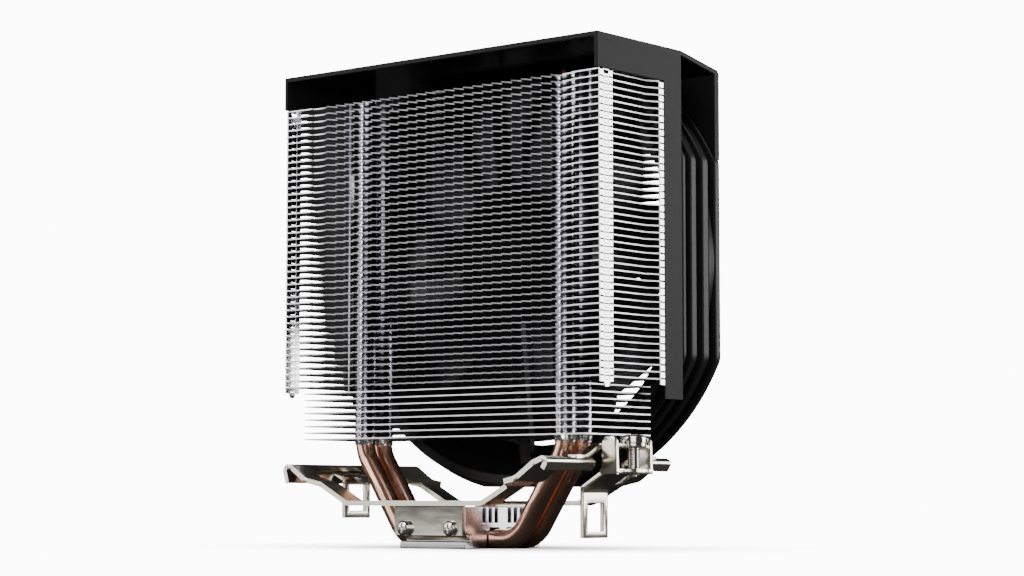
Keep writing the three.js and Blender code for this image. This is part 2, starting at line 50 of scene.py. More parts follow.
# CAMERA AND STUDIO
# A long lens just above the floor, behind the cooler's rear right corner. Soft panels stand at the
# right, behind and overhead, and the rest of the studio is dark. The camera itself sees a white
# sweep that glows. A painted contact shadow darkens that glow where something stands close to it.
camera = bpy.data.objects.new("camera", bpy.data.cameras.new("camera"))
camera.data.lens = 85.42
camera.data.sensor_width = 36
camera.data.clip_start = 0.02
camera.location = (-0.4827, 0.5639, 0.0139)
camera.rotation_euler = Vector((0.6347, -0.7677, 0.0876)).to_track_quat("-Z", "Y").to_euler()
bpy.context.scene.collection.objects.link(camera)
bpy.context.scene.camera = camera


def soft_light(name, place, target, size, power):
    """A white square area light of the given size that faces the target point."""
    light = bpy.data.objects.new(name, bpy.data.lights.new(name, "AREA"))
    light.data.size = size
    light.data.energy = power
    light.location = place
    aim = Vector(target) - Vector(place)
    light.rotation_euler = aim.to_track_quat("-Z", "Y").to_euler()
    bpy.context.scene.collection.objects.link(light)


soft_light("side_light", (-0.58, -0.62, 0.2), (0, 0, 0.08), 0.5, 5.5)
soft_light("rear_light", (0.72, 0.82, 0.3), (0, 0, 0.08), 1.1, 9)
soft_light("rear_spot", (0.3, 0.85, 0.5), (0, 0, 0.08), 0.25, 2.5)
soft_light("low_light", (-0.75, 0.95, 0.25), (0, 0, 0.08), 0.8, 6)
soft_light("top_light", (-0.15, 0.25, 0.85), (0, 0, 0.1), 0.5, 6)

SWEEP_WHITE = 12
world = bpy.data.worlds.new("studio")
bpy.context.scene.world = world
world.use_nodes = True
sky = world.node_tree.nodes["Background"]
sky.inputs["Color"].default_value = (1, 1, 1, 1)
sky_ray = world.node_tree.nodes.new("ShaderNodeLightPath")
sky_strength = world.node_tree.nodes.new("ShaderNodeMapRange")
sky_strength.inputs["To Min"].default_value = 0.04
sky_strength.inputs["To Max"].default_value = SWEEP_WHITE
world.node_tree.links.new(sky_ray.outputs["Is Camera Ray"], sky_strength.inputs["Value"])
world.node_tree.links.new(sky_strength.outputs["Result"], sky.inputs["Strength"])

floor_mesh = bpy.data.meshes.new("studio_floor")
floor_mesh.from_pydata([(-8, -8, 0), (8, -8, 0), (8, 8, 0), (-8, 8, 0)], [], [(0, 1, 2, 3)])
floor_mesh.transform(Matrix.Translation((0, 0, -0.00005)))
floor = bpy.data.objects.new("studio_floor", floor_mesh)
bpy.context.scene.collection.objects.link(floor)
sweep = bpy.data.materials.new("white_sweep")
sweep.use_nodes = True
sweep_nodes, sweep_links = sweep.node_tree.nodes, sweep.node_tree.links
dark_side = sweep_nodes["Principled BSDF"]
dark_side.inputs["Base Color"].default_value = (0.02, 0.02, 0.02, 1)
dark_side.inputs["Roughness"].default_value = 0.9
# Painted contact shadow: ambient occlusion, raised to a power, dims the floor's glow near the cooler as the
# camera sees it.
painted_contact_shadow = sweep_nodes.new("ShaderNodeAmbientOcclusion")
painted_contact_shadow.samples = 12
painted_contact_shadow.inputs["Distance"].default_value = 0.07
painted_shadow_falloff = sweep_nodes.new("ShaderNodeMath")
painted_shadow_falloff.operation = "POWER"
painted_shadow_falloff.inputs[1].default_value = 1.6
level = sweep_nodes.new("ShaderNodeMath")
level.operation = "MULTIPLY"
level.inputs[1].default_value = SWEEP_WHITE
glow = sweep_nodes.new("ShaderNodeEmission")
floor_ray = sweep_nodes.new("ShaderNodeLightPath")
either = sweep_nodes.new("ShaderNodeMixShader")
sweep_links.new(painted_contact_shadow.outputs["AO"], painted_shadow_falloff.inputs[0])
sweep_links.new(painted_shadow_falloff.outputs[0], level.inputs[0])
sweep_links.new(level.outputs[0], glow.inputs["Strength"])
sweep_links.new(floor_ray.outputs["Is Camera Ray"], either.inputs[0])
sweep_links.new(dark_side.outputs[0], either.inputs[1])
sweep_links.new(glow.outputs[0], either.inputs[2])
sweep_links.new(either.outputs[0], sweep_nodes["Material Output"].inputs["Surface"])
floor_mesh.materials.append(sweep)


# COLD PLATE
# A polished aluminium block that presses on the processor. It has cooling slots along its top,
# grooves for the pipes underneath and a rebate on each side for the clamping frame's feet.
def grid_faces(rows, columns, closed_rows=False, closed_columns=False):
    """The quads of a grid of points, joined end to end where it closes on itself."""
    index = np.arange(rows * columns).reshape(rows, columns)
    if closed_rows:
        index = np.vstack([index, index[:1]])
    if closed_columns:
        index = np.hstack([index, index[:, :1]])
    corners = [index[:-1, :-1], index[1:, :-1], index[1:, 1:], index[:-1, 1:]]
    return np.stack(corners, -1).reshape(-1, 4).tolist()


def joined(*shapes):
    """Several shapes, each of points and faces, as one."""
    starts = np.cumsum([0] + [len(points) for points, _ in shapes[:-1]])
    faces = [[v + start for v in face] for (_, each), start in zip(shapes, starts) for face in each]
    return np.vstack([points for points, _ in shapes]), faces


def moved(shape, offset):
    """The same shape, shifted by an offset."""
    return shape[0] + np.array(offset), shape[1]


def cad_shape(node):
    """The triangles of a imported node, in millimetres."""
    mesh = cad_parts[node].data
    points = np.empty(3 * len(mesh.vertices))
    mesh.vertices.foreach_get("co", points)
    return points.reshape(-1, 3) / MM, [list(p.vertices) for p in mesh.polygons]


def piece(name, shape, finish, slot, body, *nodes, sharp=35, bevel=0.0, flatten=False):
    """Makes a shape in millimetres a finished object that rides on a body. A bevel rounds the edges."""
    points, faces = shape
    mesh = bpy.data.meshes.new(name)
    mesh.from_pydata((np.asarray(points) * MM).tolist(), [], faces)
    work = bmesh.new()
    work.from_mesh(mesh)
    bmesh.ops.remove_doubles(work, verts=work.verts, dist=2e-7)
    bmesh.ops.dissolve_degenerate(work, edges=work.edges, dist=1e-7)
    if flatten:
        bmesh.ops.dissolve_limit(work, angle_limit=math.radians(0.6), verts=work.verts, edges=work.edges)
    bmesh.ops.recalc_face_normals(work, faces=work.faces)
    work.to_mesh(mesh)
    work.free()
    mesh.materials.append(finish)
    mesh.shade_smooth()
    thing = bpy.data.objects.new(name, mesh)
    bpy.context.scene.collection.objects.link(thing)
    if bevel:
        edge = thing.modifiers.new("rounded_edges", "BEVEL")
        edge.width = bevel * MM
        edge.segments = 3
        edge.limit_method = "ANGLE"
        edge.angle_limit = math.radians(28)
        even = thing.modifiers.new("even_shading", "WEIGHTED_NORMAL")
        even.weight = 60
    else:
        mesh.set_sharp_from_angle(angle=math.radians(sharp))
    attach(thing, body)
    if nodes:
        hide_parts(*nodes)
    return thing


def surface(name, colour, metallic, roughness, grain, stretch=(1, 1, 1), tint=0.1, gloss=0.08,
            relief=0.00002, **constants):
    """A shader whose colour, roughness and height drift with noise on object coordinates. Grain is
    the number of noise cells to the metre, and stretch draws them out along an axis."""
    made = bpy.data.materials.new(name)
    made.use_nodes = True
    nodes, links = made.node_tree.nodes, made.node_tree.links
    shader = nodes["Principled BSDF"]
    shader.inputs["Metallic"].default_value = metallic
    for socket, value in constants.items():
        shader.inputs[socket.replace("_", " ")].default_value = value
    place = nodes.new("ShaderNodeTexCoord")
    scale = nodes.new("ShaderNodeMapping")
    scale.inputs["Scale"].default_value = [grain * s for s in stretch]
    noise = nodes.new("ShaderNodeTexNoise")
    noise.inputs["Scale"].default_value = 1
    noise.inputs["Detail"].default_value = 6
    noise.inputs["Roughness"].default_value = 0.6
    links.new(place.outputs["Object"], scale.inputs["Vector"])
    links.new(scale.outputs["Vector"], noise.inputs["Vector"])
    shade = nodes.new("ShaderNodeMix")
    shade.data_type = "RGBA"
    shade.inputs["A"].default_value = (*[c * (1 - tint) for c in colour], 1)
    shade.inputs["B"].default_value = (*[min(c * (1 + tint), 1) for c in colour], 1)
    links.new(noise.outputs["Fac"], shade.inputs["Factor"])
    links.new(shade.outputs["Result"], shader.inputs["Base Color"])
    polish = nodes.new("ShaderNodeMapRange")
    polish.inputs["From Min"].default_value = 0.25
    polish.inputs["From Max"].default_value = 0.75
    polish.inputs["To Min"].default_value = max(roughness - gloss, 0.03)
    polish.inputs["To Max"].default_value = roughness + gloss
    links.new(noise.outputs["Fac"], polish.inputs["Value"])
    links.new(polish.outputs["Result"], shader.inputs["Roughness"])
    bump = nodes.new("ShaderNodeBump")
    bump.inputs["Strength"].default_value = 0.5
    bump.inputs["Distance"].default_value = relief
    links.new(noise.outputs["Fac"], bump.inputs["Height"])
    links.new(bump.outputs["Normal"], shader.inputs["Normal"])
    return made


polished_aluminium = surface("polished_aluminium", (0.62, 0.61, 0.63), 1, 0.22, 900, (0.1, 1, 1), 0.05, 0.05,
                             relief=0.000006)
piece("cold_plate", cad_shape("cold_plate_block"), polished_aluminium, "polished_aluminium", "cooler_body",
      "cold_plate_block", bevel=0.25, flatten=True)


# HEAT PIPES
# Two 6 mm copper tubes bent to a U and pressed flat where the cold plate holds them. On the left
# each end is domed, and on the right it is drawn to a point and pinched shut.
PIPE_RADIUS = 3.0
LEG_X = 40.0
ROW_Y = 3.9
BASE_AXIS_Z = 2.8
BEND_TOP_Z = 29.4
FOOT_X = 22.4
FIN_TOP_Z = 138.15


def rounded_line(corners, radii, steps=10):
    """A line through corners in a plane, with an arc of the given radius tangent to both runs at
    each inner corner."""
    corners = np.array(corners, float)
    line = [corners[0]]
    for before, corner, after, radius in zip(corners, corners[1:], corners[2:], radii):
        to_before = (before - corner) / np.linalg.norm(before - corner)
        to_after = (after - corner) / np.linalg.norm(after - corner)
        half = math.acos(np.clip(to_before @ to_after, -1, 1)) / 2
        middle = (to_before + to_after) / np.linalg.norm(to_before + to_after)
        centre = corner + middle * radius / math.sin(half)
        turn = math.pi - 2 * half
        start = corner + to_before * radius / math.tan(half) - centre
        side = np.sign(start[0] * to_after[1] - start[1] * to_after[0])
        side = side if side else 1
        angles = np.linspace(0, turn, steps + 1) * side
        line += [centre + (start[0] * math.cos(a) - start[1] * math.sin(a),
                           start[0] * math.sin(a) + start[1] * math.cos(a)) for a in angles]
    line.append(corners[-1])
    return np.array(line)


def heat_pipe(row_y, sides=40):
    """A tube swept along the U. The section is a superellipse: round, and squarer inside the plate.
    Its scale falls to nothing along a dome on the left and along a long cone on the right."""
    tip_z = FIN_TOP_Z + 0.2
    core = rounded_line(
        [(LEG_X, tip_z), (LEG_X, BEND_TOP_Z), (FOOT_X, BASE_AXIS_Z),
         (-FOOT_X, BASE_AXIS_Z), (-LEG_X, BEND_TOP_Z), (-LEG_X, tip_z)], [12, 9, 9, 12], 14)
    inner = np.linspace((FOOT_X - 6, BASE_AXIS_Z), (-FOOT_X + 6, BASE_AXIS_Z), 40)
    split = np.searchsorted(-core[:, 0], -(FOOT_X - 6))
    core = np.vstack([core[:split], inner, core[split:]])
    t = np.linspace(0, 1, 12)
    dome = np.column_stack([np.full(12, LEG_X), tip_z + 3.0 * np.sin(t * math.pi / 2)])[1:][::-1]
    dome_scale = np.cos(t * math.pi / 2)[1:][::-1]
    cone = np.column_stack([np.full(12, -LEG_X), tip_z + 4.7 * t])[1:]
    cone_scale = np.sqrt(np.clip(1 - t ** 8, 0, 1)) * (1 - 0.82 * t ** 0.9)
    path = np.vstack([dome, core, cone])
    scale = np.concatenate([dome_scale, np.ones(len(core)), cone_scale[1:]])
    along = np.gradient(path, axis=0)
    along /= np.linalg.norm(along, axis=1)[:, None]
    inside = np.clip((FOOT_X - 6 - np.abs(path[:, 0])) / 5, 0, 1) * (path[:, 1] < 10)
    angle = np.linspace(0, 2 * math.pi, sides, endpoint=False)
    power = 1 - 0.45 * inside[:, None]
    across = PIPE_RADIUS * scale[:, None] * (1 + 0.1 * inside[:, None])
    u = across * np.sign(np.cos(angle)) * np.abs(np.cos(angle)) ** power
    v = PIPE_RADIUS * (1 - 0.1 * inside[:, None]) * scale[:, None] * (
        np.sign(np.sin(angle)) * np.abs(np.sin(angle)) ** power)
    x = path[:, :1] - along[:, 1:] * v
    z = np.maximum(path[:, 1:] + along[:, :1] * v, 0.0)
    points = np.stack([x, row_y + u, z], -1).reshape(-1, 3)
    return points, grid_faces(len(path), sides, closed_columns=True)


copper = surface("drawn_copper", (0.86, 0.50, 0.37), 1, 0.2, 260, (1, 1, 0.35), 0.1, 0.06, relief=0.000012)
for name, row in (("heat_pipe_rear", ROW_Y), ("heat_pipe_front", -ROW_Y)):
    piece(name + "_tube", heat_pipe(row), copper, "copper", "cooler_body", name, sharp=60)


# FINS
# Stamped aluminium sheet, 0.4 mm thick, with a saw-toothed rear edge and a drawn collar round each
# pipe. Folded tabs at the sides of the upper fins lock each one to the next; the lower fins are plain.
FIN_THICKNESS = 0.4
FIN_PITCH = 2.051
FIN_HALF = 62.95
FIN_FRONT_Y = -16.5
TOOTH = 3.76
TOOTH_DEPTH = 3.0
UPPER_REAR_Y = 16.9
LOWER_REAR_Y = 14.9
LOWER_HALF = 56
COLLAR_REACH = 4.2
FIN_BLOCKS = 11
BLOCK_FINS = 4
LOWER_FINS = 8


def one_way(loop, turn):
    """A closed loop of 2D points, running anticlockwise where turn is 1 and clockwise where it is -1."""
    loop = np.array(loop, float)
    x, y = loop.T
    area = np.sum(x * np.roll(y, -1) - y * np.roll(x, -1))
    return loop if area * turn > 0 else loop[::-1]


def plate(outline, axis, low, high, holes=(), bevel=0.0):
    """A flat outline with holes, given thickness along an axis. Its points are (y, z) along X,
    (x, z) along Y and (x, y) along Z, and the bevel rounds its rims."""
    curve = bpy.data.curves.new("outline", "CURVE")
    curve.dimensions = "2D"
    curve.fill_mode = "BOTH"
    curve.extrude = (high - low) / 2 - bevel
    curve.bevel_depth = bevel
    curve.bevel_resolution = 1
    curve.offset = -bevel
    for loop, turn in [(outline, 1)] + [(hole, -1) for hole in holes]:
        loop = one_way(loop, turn)
        spline = curve.splines.new("POLY")
        spline.points.add(len(loop) - 1)
        corners = np.column_stack([loop, np.zeros(len(loop)), np.ones(len(loop))])
        spline.points.foreach_set("co", corners.ravel())
        spline.use_cyclic_u = True
    holder = bpy.data.objects.new("outline", curve)
    mesh = bpy.data.meshes.new_from_object(holder)
    points = np.empty(3 * len(mesh.vertices))
    mesh.vertices.foreach_get("co", points)
    points = points.reshape(-1, 3) + (0, 0, (low + high) / 2)
    faces = [list(p.vertices) for p in mesh.polygons]
    bpy.data.objects.remove(holder)
    bpy.data.curves.remove(curve)
    bpy.data.meshes.remove(mesh)
    return points[:, {"X": [2, 0, 1], "Y": [0, 2, 1], "Z": [0, 1, 2]}[axis]], faces


def turned(profile, segments, axis, centre):
    """A profile of (radius, height) points, turned about an axis through the centre."""
    radius, height = np.array(profile, float).T
    angle = np.linspace(0, 2 * math.pi, segments, endpoint=False)[:, None]
    points = np.stack([radius * np.cos(angle), radius * np.sin(angle), height + 0 * angle], -1)
    points = points.reshape(-1, 3)[:, {"X": [2, 0, 1], "Y": [0, 2, 1], "Z": [0, 1, 2]}[axis]]
    return points + np.array(centre), grid_faces(segments, len(profile), closed_rows=True)


def circle(radius, centre=(0, 0), sides=28):
    """Points round a circle."""
    angle = np.linspace(0, 2 * math.pi, sides, endpoint=False)
    return np.column_stack([centre[0] + radius * np.cos(angle), centre[1] + radius * np.sin(angle)])


def toothed_edge(half_width, corner_y):
    """The rear edge from -x to +x: a row of raked teeth with a V at the middle. Outside the pipes it
    dips, steps up and runs straight to the corner."""
    peaks = np.arange(-12, 13) * TOOTH
    teeth = np.column_stack([np.repeat(peaks, 2), np.tile([corner_y - TOOTH_DEPTH, corner_y], 25)])
    teeth[0::2, 0] -= 1.7
    notch = [(-0.8, corner_y), (0, corner_y - TOOTH_DEPTH - 0.6), (0.8, corner_y)]
    end = np.array([(46.6, 1.1), (48.4, 1.6), (50.4, 1.6), (52.0, 1.3), (52.4, 0.6), (57.0, 0.3),
                    (half_width, 0)])
    end[:, 1] = corner_y - end[:, 1]
    return np.vstack([end[:0:-1] * (-1, 1), teeth[:25], notch, teeth[26:], end])


def upper_outline():
    """An upper fin seen from above: waisted at its sides, and narrower in front, where the hood passes."""
    waist = FIN_HALF - 2.1
    right = [(FIN_HALF, 10.6), (waist, 10.1), (waist, -8.1), (FIN_HALF, -12.35), (FIN_HALF, -14.25),
             (61.5, -14.3), (61.5, FIN_FRONT_Y)]
    left = [(-x, y) for x, y in right[::-1]]
    return [*toothed_edge(FIN_HALF, UPPER_REAR_Y), *right, *left][::-1]


def fin(outline):
    """One fin, its top face at height 0, with its four collars drawn down almost to the next fin."""
    sheet = plate(outline, "Z", -FIN_THICKNESS, 0, [circle(3.6, seat) for seat in PIPE_SEATS])
    collar = [(3.06, -2.0), (3.3, -2.0), (3.34, -0.9), (3.62, -0.42), (3.62, -0.05), (3.3, -0.02),
              (3.06, -0.5), (3.06, -2.0)]
    return joined(sheet, *[turned(collar, 24, "Z", (x, y, 0)) for x, y in PIPE_SEATS])


def fold_tabs():
    """The four tabs of an upper fin: a narrow strip in front, and behind a wide one whose lower end is
    a blunt spear that drops into the notch of the tab below."""
    drop = FIN_PITCH - 0.14
    spear = [(10.7, 0), (12.2, 0), (12.7, -1.5), (14.7, -1.5), (15.2, 0), (16.7, 0), (16.7, -drop),
             (15.0, -drop), (14.5, -drop - 1.45), (12.9, -drop - 1.45), (12.4, -drop), (10.7, -drop)]
    strip = [(-14.25, 0), (-12.35, 0), (-12.35, -drop), (-14.25, -drop)]
    return joined(*[plate(shape, "X", *sorted((side * (FIN_HALF - 0.4), side * FIN_HALF)))
                    for side in (1, -1) for shape in (spear, strip)])


def dull_rims(thing):
    """Gives the sheared edges of a piece's sheets its second finish: they are the upright faces in the
    top 0.4 mm of each pitch, away from the pipes."""
    mesh = thing.data
    count = len(mesh.polygons)
    normal, centre = np.empty(3 * count), np.empty(3 * count)
    mesh.polygons.foreach_get("normal", normal)
    mesh.polygons.foreach_get("center", centre)
    normal, centre = normal.reshape(-1, 3), centre.reshape(-1, 3) / MM
    height = (FIN_TOP_Z - centre[:, 2]) % FIN_PITCH
    beside_pipe = np.abs(np.abs(centre[:, 0]) - LEG_X) < COLLAR_REACH
    beside_pipe &= np.abs(np.abs(centre[:, 1]) - ROW_Y) < COLLAR_REACH
    rim = (np.abs(normal[:, 2]) < 0.5) & (np.abs(height - FIN_THICKNESS / 2) < 0.05) & ~beside_pipe
    mesh.polygons.foreach_set("material_index", rim.astype(int))


PIPE_SEATS = [(sx * LEG_X, sy * ROW_Y) for sx in (1, -1) for sy in (1, -1)]
fin_sheet = surface("fin_sheet", (0.84, 0.83, 0.87), 1, 0.13, 700, (0.15, 1, 1), 0.05, 0.04, relief=0.000004)
fin_rim = surface("sheared_rim", (0.80, 0.80, 0.81), 1, 0.45, 1500, (1, 1, 1), 0.1, 0.06, relief=0.00001)
upper_fin = joined(fin(upper_outline()), fold_tabs())
lower_fin = fin([(LOWER_HALF, FIN_FRONT_Y), (LOWER_HALF, LOWER_REAR_Y), (-LOWER_HALF, LOWER_REAR_Y),
                 (-LOWER_HALF, FIN_FRONT_Y)])
for block in range(FIN_BLOCKS):
    heights = [FIN_TOP_Z - (BLOCK_FINS * block + k) * FIN_PITCH for k in range(BLOCK_FINS)]
    stack = piece(f"fins_{block + 1:02d}", joined(*[moved(upper_fin, (0, 0, z)) for z in heights]), fin_sheet,
                  "fin_aluminium", "cooler_body", f"fin_block_{block + 1:02d}")
    stack.data.materials.append(fin_rim)
    dull_rims(stack)
for k in range(LOWER_FINS):
    height = FIN_TOP_Z - (FIN_BLOCKS * BLOCK_FINS + k) * FIN_PITCH
    plain = piece(f"plain_fin_{k + 1}", moved(lower_fin, (0, 0, height)), fin_sheet,
                  "fin_aluminium", "cooler_body", f"lower_fin_{k + 1}")
    plain.data.materials.append(fin_rim)
    dull_rims(plain)


# CLAMPING FRAME
# A nickel-plated ring of 1.5 mm steel. Two tabs fold down and under the cold plate's sides, one end
# curls down and carries the fixed hook, and the other has a bridge for the tension screw.
SHEET = 1.5
STRIP_INNER_Y = 19.3
HOOK_HALF = 5.8
EYE_HALF = 3.7
nickel = surface("nickel_plate", (0.74, 0.70, 0.60), 1, 0.2, 420, (0.3, 1, 1), 0.07, 0.07, relief=0.00001)
left_end = [(50.5, 25.5), (52.7, 25.5), (54.0, 23.8), (52.7, 19.6)]
right_end = [(-54.9, 22.8), (-56.4, 25.3), (-54.9, 27.2)]
arm = [(26.6, 14.2), (37.5, 19.9), (44.0, 21.2)]
frame_line = rounded_line(
    [*right_end, (-50.5, 25.6), *[(-x, z) for x, z in arm[::-1]], *arm, *left_end],
    [1.2, 2.0, 4, 4, 4, 4, 4, 4, 4, 4, 1.0, 1.6], 6)


def ring_strip(line):
    """The ring as bands between lines across it: outer edge, window, and outer edge. Ears widen the
    near strip on the right and the far strip on the left, past a slanted step."""
    length = np.concatenate([[0], np.cumsum(np.linalg.norm(np.diff(line, axis=0), axis=1))])
    steps = [s * x for x in (35.8, 40.0, 49.5) for s in (1, -1)] + [-48.0]
    extra = [np.interp(x, line[:, 0], length) for x in steps]
    stations = np.unique(np.concatenate([length, extra]).round(4))
    x = np.interp(stations, length, line[:, 0])
    z = np.interp(stations, length, line[:, 1])
    ear = np.interp(x, [-40, -35.8], [32.4, 26.5])
    far_ear = np.interp(x, [35.8, 40], [-26.5, -32.4])
    lines = [far_ear, -STRIP_INNER_Y + 0 * x, -10.3 + 0 * x, 10.3 + 0 * x, STRIP_INNER_Y + 0 * x, ear]
    points = np.stack([np.stack([x, y, z], -1) for y in lines], 1)
    middle = (x[:-1] + x[1:]) / 2
    everywhere = np.ones(len(middle), bool)
    at_ends = np.abs(middle) > 49.5
    bands = [everywhere, at_ends, middle > 49.5, at_ends, everywhere]
    index = np.arange(len(x) * 6).reshape(len(x), 6)
    faces = []
    for band, keep in enumerate(bands):
        quads = np.stack([index[:-1, band], index[1:, band], index[1:, band + 1], index[:-1, band + 1]], -1)
        faces += quads[keep].tolist()
    return points.reshape(-1, 3), faces


def sheet_piece(name, shape, body, *nodes):
    """A surface made 1.5 mm sheet below itself, with rounded rims."""
    thing = piece(name, shape, nickel, "nickel_steel", body, *nodes, bevel=0.4)
    wall = thing.modifiers.new("sheet", "SOLIDIFY")
    wall.thickness = SHEET * MM
    wall.offset = -1
    wall.use_even_offset = True
    thing.modifiers.move(len(thing.modifiers) - 1, 0)
    if np.mean([p.normal.z for p in thing.data.polygons]) < 0:
        thing.data.flip_normals()
    return thing


def bent_sheet(line, axis, low, high):
    """A centre line given the sheet's thickness, carried across from low to high, with soft rims."""
    along = np.gradient(line, axis=0)
    along /= np.linalg.norm(along, axis=1)[:, None]
    side = np.column_stack([-along[:, 1], along[:, 0]]) * SHEET / 2
    return plate(np.vstack([line + side, (line - side)[::-1]]), axis, low, high, bevel=0.12)


def box_outline(low, high):
    """A rectangle between two corners."""
    return [(low[0], low[1]), (high[0], low[1]), (high[0], high[1]), (low[0], high[1])]


sheet_piece("clamping_ring", ring_strip(frame_line), "cooler_body", "clamping_frame")

screw_x = 9.15
screw_z = 6.0
for side, name in ((1, "rear_tab"), (-1, "front_tab")):
    fold = rounded_line([(20.4, 13.45), (18.55, 13.45), (18.55, 3.05), (15.1, 3.05)], [1.0, 0.9], 6)
    fold = fold * (side, 1)
    wall = bent_sheet(fold, "X", -13.5, 13.5)
    piece("clamping_" + name, wall, nickel, "nickel_steel", "cooler_body", sharp=40)

fixed_eye = box_outline((-EYE_HALF, 11.1), (EYE_HALF, 19.2))
fixed_hook = joined(
    plate(box_outline((-HOOK_HALF, 8.8), (HOOK_HALF, 21.6)), "X", 46.8, 48.3, [fixed_eye], bevel=0.2),
    bent_sheet(rounded_line([(47.5, 20.6), (48.6, 21.6), (53.7, 24.0)], [1.0], 4), "Y",
               -HOOK_HALF, HOOK_HALF))
piece("fixed_hook", fixed_hook, nickel, "nickel_steel", "cooler_body", sharp=40)

CLAMP_X = -62.0
BRIDGE_Z = 30.8
NOSE_RADIUS = 3.7
nose = [(CLAMP_X - NOSE_RADIUS * math.sin(a), NOSE_RADIUS * math.cos(a))
        for a in np.linspace(0, math.pi, 17)]
tongue = plate([(-53, -6.6), (-53, 6.6), (-58.5, 6.6), (-60, 5.4), *nose, (-60, -5.4), (-58.5, -6.6)], "Z",
               BRIDGE_Z - SHEET, BRIDGE_Z, [circle(2.2, (CLAMP_X, 0))], bevel=0.2)
arch_line = rounded_line(
    [(-19.2, 26.5), (-14.6, 26.5), (-7.6, 30.05), (7.6, 30.05), (14.6, 26.5), (19.2, 26.5)],
    [5, 4, 4, 5], 6)
arch = bent_sheet(arch_line, "X", -56.2, -53)
piece("screw_bridge", joined(tongue, arch), nickel, "nickel_steel", "cooler_body", sharp=40)


# BASE SCREWS
# Four small plated screws with domed heads and cross recesses hold the frame's tabs to the cold plate.
bright_steel = surface("bright_steel", (0.80, 0.78, 0.73), 1, 0.14, 900, (1, 1, 1), 0.05, 0.05,
                       relief=0.000006)


def screw_head(radius, height, arm_length, arm_half, depth):
    """A head on a polar grid: a low dome that turns down to a short wall, less a recess where a point
    lies in either arm of a cross. The recess floor rises towards the arms' ends."""
    share = np.concatenate([np.linspace(0, 0.86, 30), 1 - 0.14 * np.linspace(1, 0, 9)[1:] ** 1.6])
    angle = np.linspace(0, 2 * math.pi, 120, endpoint=False)[:, None]
    x = radius * share * np.cos(angle)
    y = radius * share * np.sin(angle)
    dome = height * (0.55 + 0.45 * np.sqrt(np.clip(1 - share ** 2.4, 0, 1))) + 0 * angle
    narrow = np.minimum(np.abs(x), np.abs(y))
    wide = np.maximum(np.abs(x), np.abs(y))
    inside = np.clip((arm_half - narrow) / 0.12, 0, 1) * np.clip((arm_length - wide) / 0.3, 0, 1)
    z = dome - depth * inside * (1 - 0.45 * wide / arm_length)
    top = np.stack([x, y, z], -1)
    edge = top[:, -1:] * (1, 1, 0)
    foot = edge * (0.4, 0.4, 0)
    points = np.concatenate([top, edge, foot, 0 * foot], 1)
    return points.reshape(-1, 3), grid_faces(points.shape[0], points.shape[1], closed_rows=True)


head = screw_head(2.25, 1.7, 1.35, 0.3, 0.9)
shank = turned([(0, 0), (1.2, 0), (1.2, 7.3), (0, 7.3)], 20, "Z", (0, 0, -7.3))
screw = joined(head, shank)
places = [(sx * screw_x, side) for side in (1, -1) for sx in (1, -1)]
for number, (x, side) in enumerate(places):
    points = np.column_stack([screw[0][:, 0], side * (STRIP_INNER_Y + 0.05 + screw[0][:, 2]), screw[0][:, 1]])
    piece(f"cross_screw_{number + 1}", (points + (x, 0, screw_z), screw[1]), bright_steel, "bright_steel",
          "cooler_body", f"base_screw_{number + 1}", sharp=40)


# MOVING HOOK AND TENSION SCREW
# The hook is a steel eye on a slanted strap, with a tapped floor between two cheeks. The screw turns in
# the frame's bridge and draws the hook up towards its head.
hook_eye = box_outline((-EYE_HALF, 5.2), (EYE_HALF, 13.4))
strap = rounded_line([(-47.6, 16.6), (-47.9, 17.9), (-55.6, 22.5), (-57.8, 22.55)], [0.8, 3], 5)
cheek = [(-62.6, 21.8), (-57, 21.8), (-57.3, 31.2), (-58.4, 32.6), (-61.3, 32.6), (-62.4, 31.4)]
base_outline = [(-56.4, -8.7), (-62.6, -8.7), (-62.6, -5.2), (-65.1, -3.4), (-65.3, -2.8),
                (-65.3, 2.8), (-65.1, 3.4), (-62.6, 5.2), (-62.6, 8.7), (-56.4, 8.7)]
hook = joined(
    plate(box_outline((-HOOK_HALF, 3.3), (HOOK_HALF, 18.2)), "X", -48.3, -46.8, [hook_eye], bevel=0.2),
    bent_sheet(strap, "Y", -HOOK_HALF, HOOK_HALF),
    plate(base_outline, "Z", 21.8, 23.3, [circle(2.0, (CLAMP_X, 0))], bevel=0.2),
    *[plate(cheek, "Y", *sorted((s * 7.4, s * 8.9)), bevel=0.25) for s in (1, -1)])
piece("hook_and_cheeks", hook, nickel, "nickel_steel", "moving_hook", "moving_hook", sharp=40)


def threaded_rod(radius, pitch, low, high):
    """A rod whose radius follows a triangle wave of height plus turn, so that its ridge is one helix."""
    turns = (high - low) / pitch
    height = np.linspace(low, high, int(turns * 8))[:, None]
    angle = np.linspace(0, 2 * math.pi, 40, endpoint=False)
    phase = (height / pitch - angle / (2 * math.pi)) % 1
    depth = 0.42 * np.abs(2 * phase - 1)
    taper = np.clip((height - low) / (1.2 * pitch), 0.55, 1)
    r = (radius - depth) * taper
    points = np.stack([r * np.cos(angle), r * np.sin(angle), height + 0 * angle], -1)
    bottom = points[:1] * (0, 0, 1)
    top = points[-1:] * (0, 0, 1)
    points = np.concatenate([bottom, points, top])
    return points.reshape(-1, 3), grid_faces(points.shape[0], 40, closed_columns=True)


head_seat = BRIDGE_Z + 0.1
tension = joined(moved(screw_head(3.9, 2.4, 2.0, 0.42, 1.3), (0, 0, head_seat)),
                 threaded_rod(1.95, 0.7, 20.9, head_seat + 0.2))
piece("tension_screw_body", moved(tension, (CLAMP_X, 0, 0)), bright_steel, "bright_steel", "tension_screw",
      "tension_screw", sharp=40)


